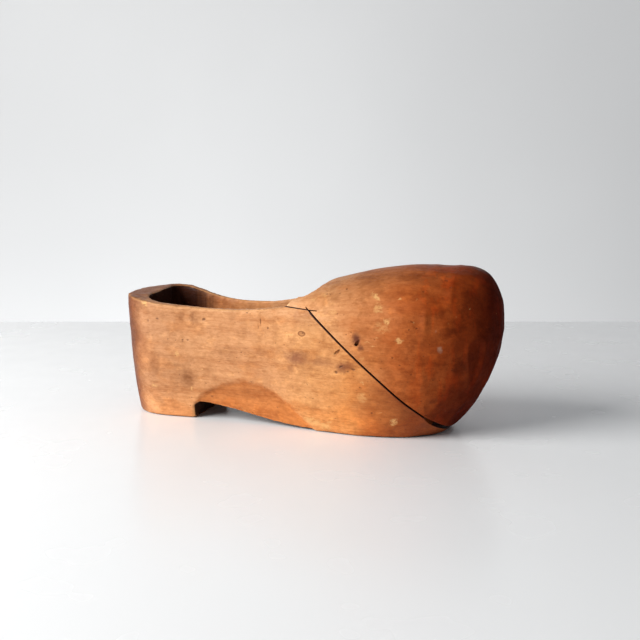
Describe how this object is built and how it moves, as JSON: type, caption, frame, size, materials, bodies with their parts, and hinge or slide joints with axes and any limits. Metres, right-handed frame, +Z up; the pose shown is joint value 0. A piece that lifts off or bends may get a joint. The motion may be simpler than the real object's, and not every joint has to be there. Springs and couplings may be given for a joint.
{
  "type": "wooden clog",
  "caption": "Carved wooden clog with a raised heel block, a foot-shaped hollow and a tall round toe, made as a lower body and a toe cap nailed together along a saw cut.",
  "frame": {"origin": "on the ground under the middle of the clog's length and width", "axes": "+X towards the toe, +Y towards the medial side, +Z up"},
  "size_m": [0.29, 0.0969, 0.1197],
  "materials": {
    "body_wood": "worn, hand-carved, lightly waxed",
    "toe_wood": "worn, hand-carved, darkened with age",
    "nail_iron": "rusted wrought iron"
  },
  "bodies": {
    "root": {"lower_body": "body_wood", "upper_toe": "toe_wood", "nail_cap_lateral": "nail_iron", "nail_cap_medial": "nail_iron", "nail_body_lateral": "nail_iron", "nail_body_medial": "nail_iron", "nail_toe_lateral": "nail_iron", "nail_toe_medial": "nail_iron"}
  },
  "joints": []
}
